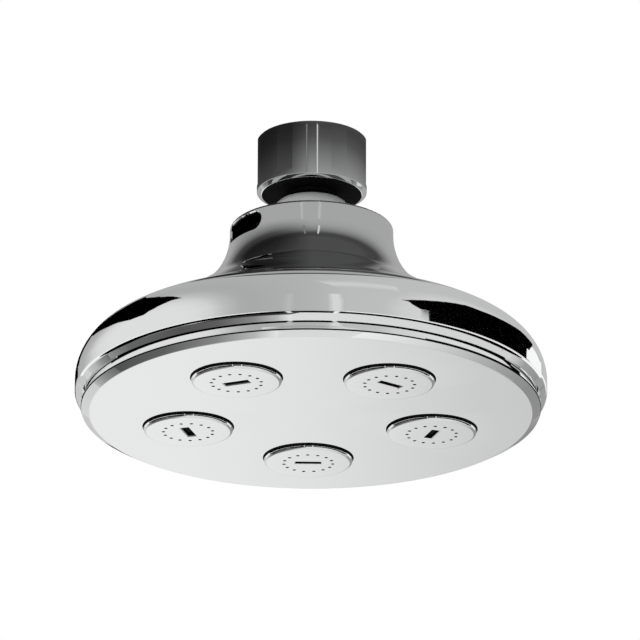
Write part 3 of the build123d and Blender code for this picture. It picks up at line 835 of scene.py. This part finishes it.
for slot, (name, *recipe) in TURNED.items():
    finishes[slot] = turn_steel(fresh(name), *recipe)
print("inner finishes:", len(finishes) - chrome_count)

# %% Dress the pieces
for node in nodes.values():
    node.material_slots[0].material = finishes[node.material_slots[0].material.name]
print("dressed", len(nodes), "nodes")

# %% [markdown]
# ## The studio
# Chrome is a mirror, so its look is the room's. The room here is white, as the background of the picture is.
# Lamps alone would give chrome only bright spots, so grey and black cards stand round the head,
# out of the camera's sight, as they do in a product photographer's studio.

# %% White room
SOFT_LIGHT = 0.7
world = bpy.data.worlds.new("studio_world")
bpy.context.scene.world = world
world.use_nodes = True
tree = world.node_tree
soft_light = tree.nodes["Background"]
soft_light.inputs["Color"].default_value = (1, 1, 1, 1)
soft_light.inputs["Strength"].default_value = SOFT_LIGHT
white = tree.nodes.new("ShaderNodeBackground")
white.inputs["Color"].default_value = (1, 1, 1, 1)
white.inputs["Strength"].default_value = 1
path = tree.nodes.new("ShaderNodeLightPath")
direct_or_gloss = math_node(tree, "MAXIMUM")
seen = math_node(tree, "MAXIMUM")
choose = tree.nodes.new("ShaderNodeMixShader")
tree.links.new(path.outputs["Is Camera Ray"], direct_or_gloss.inputs[0])
tree.links.new(path.outputs["Is Glossy Ray"], direct_or_gloss.inputs[1])
tree.links.new(direct_or_gloss.outputs[0], seen.inputs[0])
tree.links.new(path.outputs["Is Transmission Ray"], seen.inputs[1])
tree.links.new(seen.outputs[0], choose.inputs[0])
tree.links.new(soft_light.outputs[0], choose.inputs[1])
tree.links.new(white.outputs[0], choose.inputs[2])
tree.links.new(choose.outputs[0], tree.nodes["World Output"].inputs["Surface"])
print("white room with soft light of", SOFT_LIGHT)

# %% Floor
FLOOR_HEIGHT = -1.0
bpy.ops.object.select_all(action="DESELECT")
bpy.ops.mesh.primitive_plane_add(size=8, location=(0, 0, FLOOR_HEIGHT))
floor = bpy.context.object
floor.name = "studio_floor"
floor_paint = fresh("floor_paint")
mould(floor_paint, (0.9, 0.9, 0.9), (0.93, 0.93, 0.93), 3, 0.9, 0.0)
floor.data.materials.append(floor_paint)
print("floor at", FLOOR_HEIGHT)

# %% [markdown]
# ## Cards under, behind and in front
# The bevels under the bell mirror what lies low on both sides, and the spray face what stands low behind it.
# Each card is a plane with a run of greys along it. One grey a card would be simpler, but the tones
# in the picture drift along the rim: dark on the left, lighter to the middle, mid-grey on the right.

# %% Card helpers
HEAD = Vector((0, 0, (FACE + 15) * MM))


def ramp_along(tree, source, levels):
    """Greys along a coordinate, as stops of (place, level)."""
    span = levels[-1][0] - levels[0][0]
    spread = map_range(tree, levels[0][0], levels[-1][0], 0, 1)
    ramp = tree.nodes.new("ShaderNodeValToRGB")
    stops = ramp.color_ramp.elements
    while len(stops) < len(levels):
        stops.new(0.5)
    for stop, (where, level) in zip(stops, levels):
        stop.position = (where - levels[0][0]) / span
        stop.color = (level, level, level, 1)
    tree.links.new(source, spread.inputs["Value"])
    tree.links.new(spread.outputs[0], ramp.inputs["Fac"])
    return ramp.outputs["Color"]


def grey_card(piece, name, levels, axis="X", side_levels=None, side_fade=None):
    """Gives a card its greys along one of its axes, and can darken it towards one side above a height."""
    piece.name = name
    card = fresh(name + "_grey")
    card.use_nodes = True
    tree = card.node_tree
    tree.nodes.remove(tree.nodes["Principled BSDF"])
    glow = tree.nodes.new("ShaderNodeEmission")
    place = tree.nodes.new("ShaderNodeTexCoord")
    split = tree.nodes.new("ShaderNodeSeparateXYZ")
    tree.links.new(place.outputs["Object"], split.inputs[0])
    level = ramp_along(tree, split.outputs[axis], levels)
    if side_levels:
        fade = map_range(tree, *side_fade, 0, 1)
        tree.links.new(split.outputs["Z"], fade.inputs["Value"])
        darken = tree.nodes.new("ShaderNodeMix")
        darken.data_type = "RGBA"
        darken.blend_type = "MULTIPLY"
        tree.links.new(fade.outputs[0], darken.inputs["Factor"])
        tree.links.new(level, darken.inputs[6])
        tree.links.new(ramp_along(tree, split.outputs["X"], side_levels), darken.inputs[7])
        level = darken.outputs[2]
    tree.links.new(level, glow.inputs["Color"])
    tree.links.new(glow.outputs[0], tree.nodes["Material Output"].inputs["Surface"])
    piece.data.materials.append(card)
    piece.visible_camera = False
    piece.visible_diffuse = False
    piece.visible_shadow = False
    return piece


def flat_card(name, centre, along, across, levels):
    """A flat card about a centre seen from the head; its edges are given as half lengths."""
    bpy.ops.object.select_all(action="DESELECT")
    bpy.ops.mesh.primitive_plane_add(size=2)
    piece = bpy.context.object
    along, across = Vector(along), Vector(across)
    out = along.cross(across).normalized()
    turn = Matrix((along, across, out)).transposed().to_4x4()
    piece.matrix_world = Matrix.Translation(HEAD + Vector(centre)) @ turn
    return grey_card(piece, name, levels)


BLACK = [(-1, 0.0), (1, 0.0)]
WHITE = [(-1, 1.0), (1, 1.0)]
print("cards are placed from", tuple(round(c, 4) for c in HEAD))

# %% Low cards
LOW_LEFT = [
    (-1, 0.3), (-0.6, 0.14), (-0.28, 0.12), (0.03, 0.09), (0.37, 0.12), (0.68, 0.25), (0.88, 0.5), (1, 0.85),
]
LOW_FRONT = [(-1, 0.05), (0.6, 0.03), (1, 0.1)]
LEFT_END = [(-1, 0.16), (-0.65, 0.3), (-0.3, 0.5), (1, 0.68)]
LOW_RIGHT = [(-1, 0.9), (-0.63, 0.62), (-0.36, 0.47), (-0.06, 0.37), (0.29, 0.31), (1, 0.28)]
RIGHT_END = [(-1, 0.66), (-0.6, 0.36), (1, 0.28)]
LOW_CARDS = [
    ("low_left_card", (-0.7, 0.225, -0.85), (0.6, 0, 0), (0, 0.675, 0), LOW_LEFT),
    ("low_front_card", (-0.56, -0.85, -0.85), (0.44, 0, 0), (0, 0.4, 0), LOW_FRONT),
    ("low_left_end", (-0.95, 1.75, -0.85), (0, 0.85, 0), (0.85, 0, 0), LEFT_END),
    ("low_right_card", (0.6, 0.95, -0.85), (0.35, 0.85, 0), (0.185, -0.076, 0), LOW_RIGHT),
    ("low_right_end", (1.85, 2.15, -0.86), (0, 1.3, 0), (0.85, 0, 0), RIGHT_END),
]
for card in LOW_CARDS:
    flat_card(*card)
print("low cards:", len(LOW_CARDS))

# %% Back and front cards
FACE_LEVELS = [
    (-1, 0.64), (-0.5, 0.72), (-0.2, 0.78), (-0.13, 0.87), (-0.07, 0.86), (0, 0.8),
    (0.07, 0.69), (0.1, 0.64), (0.16, 0.6), (0.25, 0.3), (1, 0.28),
]
BACK_LINE = [(-1, 0.6), (-0.1, 0.6), (0.05, 0.3), (0.3, 0.28), (0.4, 0.35), (1, 0.35)]
FRONT_LEVELS = [(-1, 0.85), (-0.5, 0.4), (0.5, 0.42), (1, 0.7)]
SOFT_PATCH = [(-1, 0.53), (-0.1, 0.66), (0.1, 0.66), (1, 0.52)]
HIGH_CARDS = [
    ("left_edge_card", (-0.28, 1.4, 0.62), (0.3, 0, 0), (0, 0, 0.38), BLACK),
    ("back_card", (0, 1.5, -0.58), (0.9, 0, 0), (0, 0, 0.38), FACE_LEVELS),
    ("back_line", (0, 1.51, -0.1), (1.2, 0, 0), (0, 0, 0.35), BACK_LINE),
    ("front_card", (-0.1, -1.25, 0.04), (0.45, 0, 0), (0, 0, 0.14), FRONT_LEVELS),
    ("soft_patch", (0.378, -0.484, 1.2), (-0.14, 0.18, 0.11), (0.266, 0.145, -0.03), SOFT_PATCH),
    ("right_back_card", (0.56, 0.8, 0.24), (0, 0.46, 0), (0, 0, 0.16), WHITE),
]
for card in HIGH_CARDS:
    flat_card(*card)
print("back and front cards:", len(HIGH_CARDS))

# %% [markdown]
# ## Black flags
# The two black shapes on the dome are black flags seen in the mirror.
# A square flag would give a plain bent block, so each one is cut to an outline
# in the upright plane where it stands, and the dome bends that into the shape that is seen.

# %% Black flags
def cut_flag(name, side, outline):
    """A black flag in an upright plane to one side of the head, cut to an outline of (depth, height)."""
    corners = [HEAD + Vector((side, depth, height)) for depth, height in outline]
    piece = draw_wire(name, corners)
    edit(piece)
    bpy.ops.mesh.edge_face_add()
    bpy.ops.object.mode_set(mode="OBJECT")
    return grey_card(piece, name, BLACK)


LEFT_FLAG = [
    (-0.063, 0.319), (0.035, 0.379), (0.18, 0.443), (0.403, 0.539), (0.781, 0.708), (1.2, 0.9),
    (1.2, 0.6), (0.554, 0.34), (0.353, 0.275), (0.247, 0.236), (0.137, 0.205), (0.045, 0.168),
    (-0.004, 0.172), (-0.01, 0.208), (-0.022, 0.249), (-0.028, 0.297),
]
RIGHT_FLAG = [
    (-0.485, 0.44), (-0.346, 0.453), (-0.216, 0.464), (-0.02, 0.49), (0.09, 0.5), (0.163, 0.463),
    (0.327, 0.454), (0.445, 0.465), (0.638, 0.5), (0.697, 0.49), (0.813, 0.476), (0.583, 0.347),
    (0.355, 0.21), (0.355, 0.12), (-0.334, 0.12), (-0.334, 0.2), (-0.361, 0.206), (-0.388, 0.213),
    (-0.381, 0.26), (-0.421, 0.327), (-0.444, 0.4),
]
cut_flag("left_flag", -0.3, LEFT_FLAG)
cut_flag("right_flag", 0.5, RIGHT_FLAG)
print("flags of", len(LEFT_FLAG), "and", len(RIGHT_FLAG), "corners")

# %% [markdown]
# ## Sheet, horizon and strips
# The dome mirrors what is overhead, and a curved sheet with soft greys gives it an even tone from side to side.
# A dark band low round the front draws the thin black lines in the rounded edges of the rim.
# Two pairs of upright strips beside the camera give the paired highlights on the dome and the rim.

# %% Overhead sheet
SHEET_RADIUS = 1.6
SHEET_WIDTH = 5.2
SHEET_FOOT = 0.2
SHEET_LEVELS = [
    (-2.6, 0.79), (-2.0, 0.76), (-1.6, 0.69), (-1.3, 0.55), (-1.0, 0.45), (-0.8, 0.43),
    (-0.3, 0.46), (0, 0.48), (0.4, 0.54), (1.0, 0.555), (1.4, 0.66), (2.6, 0.75),
]
bpy.ops.object.select_all(action="DESELECT")
bpy.ops.mesh.primitive_cylinder_add(
    vertices=128,
    radius=SHEET_RADIUS,
    depth=SHEET_WIDTH,
    end_fill_type="NGON",
    location=HEAD,
    rotation=(0, math.pi / 2, 0),
)
sheet = bpy.context.object
settle(sheet)
edit(sheet)
bpy.ops.mesh.bisect(plane_co=HEAD + Vector((0, 0, SHEET_FOOT)), plane_no=(0, 0, 1), clear_inner=True)
bpy.ops.object.mode_set(mode="OBJECT")
grey_card(sheet, "overhead_sheet", SHEET_LEVELS)
print(sheet.name, len(sheet.data.polygons), "faces")

# %% Dark horizon
def keep_faces(piece, wanted):
    """Deletes every face of a piece but the wanted ones."""
    pick_faces(piece, lambda face: not wanted(face))
    bpy.ops.mesh.delete(type="FACE")
    bpy.ops.mesh.select_mode(type="VERT")
    bpy.ops.object.mode_set(mode="OBJECT")


def tube_card(name, radius, low, high, levels, wanted, **shading):
    """A round card about the head's axis between two heights, of which only the wanted faces are kept."""
    bpy.ops.object.select_all(action="DESELECT")
    bpy.ops.mesh.primitive_cylinder_add(
        vertices=180, radius=radius, depth=high - low, end_fill_type="NGON", location=(0, 0, (low + high) / 2)
    )
    piece = bpy.context.object
    settle(piece)
    keep_faces(piece, wanted)
    return grey_card(piece, name, levels, "Z", **shading)


HORIZON_RADIUS = 1.3
HORIZON_TOP = -4
HORIZON_FOOT = -33
HORIZON_END = 0.6


def at_elevation(degrees):
    """The height of an elevation, seen from the head, at the horizon's radius."""
    return HEAD.z + HORIZON_RADIUS * math.tan(math.radians(degrees))


def in_front(face):
    """Upright faces that stand before the head or beside it."""
    return abs(face.normal.z) < 0.5 and face.center.y < HORIZON_END


horizon = tube_card(
    "dark_horizon", HORIZON_RADIUS, at_elevation(HORIZON_FOOT), at_elevation(HORIZON_TOP), BLACK, in_front
)
print(horizon.name, len(horizon.data.polygons), "faces")

# %% Strips beside the camera
STRIP_DISTANCE = 1.1


def strip(name, azimuth, distance, half_width, low, high, levels):
    """An upright strip at an azimuth from the camera's side, between two heights over the head."""
    turn = math.radians(azimuth)
    centre = (distance * math.sin(turn), -distance * math.cos(turn), (low + high) / 2)
    along = (half_width * math.cos(turn), half_width * math.sin(turn), 0)
    return flat_card(name, centre, along, (0, 0, (high - low) / 2), levels)


STRIPS = [
    ("right_low_strip", 11.8, 0.025, -0.9, -0.08, [(-1, 0.7), (0, 1.0), (1, 0.7)]),
    ("left_low_strip", -10.5, 0.025, -0.9, -0.08, [(-1, 0.5), (0, 0.8), (1, 0.5)]),
    ("right_soft_strip", 11.8, 0.08, 0.15, 0.75, [(-1, 0.5), (-0.3, 0.72), (0.3, 0.72), (1, 0.5)]),
    ("left_soft_strip", -10.5, 0.06, 0.15, 0.75, [(-1, 0.46), (0, 0.52), (1, 0.46)]),
]
for name, azimuth, half_width, low, high, levels in STRIPS:
    strip(name, azimuth, STRIP_DISTANCE, half_width, low, high, levels)
print("strips:", len(STRIPS))

# %% [markdown]
# ## Shade over the inlet
# The nut and the neck are darker than the bell, and the nut darkens towards its top.
# A far card can't do that, because an upright wall mirrors it at one height; a round hood close by can.
# Its greys run from light at the foot to near black at the top, and its left side is darker.
# Narrow light slits in it give the thin upright highlights.

# %% Shade over the inlet
HOOD_RADIUS = 40
HOOD_FOOT = 44
HOOD_TOP = 105
SIDE_FADE = (60, 71)
SHADE_LEVELS = [
    (44, 0.39), (61, 0.4), (66, 0.36), (70, 0.28), (75, 0.18),
    (80, 0.085), (84, 0.055), (95, 0.06), (105, 0.075),
]
SHADE_SIDE = [(-40, 0.2), (-30, 0.28), (-20, 0.48), (-10, 0.75), (0, 1.0), (40, 1.0)]


def over_face(height):
    """The scene's height for millimetres over the spray face."""
    return (FACE + height) * MM


def not_floor(face):
    """The wall and the lid of the hood, without its bottom."""
    return face.normal.z > -0.5


hood = tube_card(
    "inlet_shade",
    HOOD_RADIUS * MM,
    over_face(HOOD_FOOT),
    over_face(HOOD_TOP),
    [(over_face(height), level) for height, level in SHADE_LEVELS],
    not_floor,
    side_levels=[(side * MM, level) for side, level in SHADE_SIDE],
    side_fade=[over_face(height) for height in SIDE_FADE],
)
print(hood.name, len(hood.data.polygons), "faces")

# %% Slits in the shade
SLIT_DISTANCE = 39.5
SLITS = [
    ("right_nut_slit", 9.4, 0.8, 52, 69, [(-1, 0.4), (0, 0.75), (1, 0.4)]),
    ("left_nut_slit", -9.0, 0.8, 52, 69, [(-1, 0.12), (0, 0.25), (1, 0.12)]),
    ("right_neck_slit", 8.6, 1.4, 32, 46, [(-1, 0.4), (0, 0.52), (1, 0.4)]),
    ("left_neck_slit", -10.5, 1.4, 32, 46, [(-1, 0.4), (0, 0.52), (1, 0.4)]),
]
for name, azimuth, half_width, low, high, levels in SLITS:
    strip(name, azimuth, SLIT_DISTANCE * MM, half_width * MM, low * MM, high * MM, levels)
print("slits:", len(SLITS))

# %% [markdown]
# ## One soft lamp
# The cards only show in mirrors. The dull ball, the rubber, the plastic and the floor need light of their own.
# Besides the white room, one broad lamp at the front left gives it, hidden from the chrome.

# %% Soft lamp
LAMP_PLACE = (-1.2, -1.2, 1.2)
LAMP_POWER = 12
LAMP_SIZE = 1.2
bpy.ops.object.light_add(type="AREA", location=LAMP_PLACE)
lamp = bpy.context.object
lamp.data.energy = LAMP_POWER
lamp.data.size = LAMP_SIZE
lamp.rotation_euler = (HEAD - lamp.location).to_track_quat("-Z", "Y").to_euler()
lamp.visible_glossy = False
lamp.visible_camera = False
print("lamp of", LAMP_POWER, "W at", LAMP_PLACE)
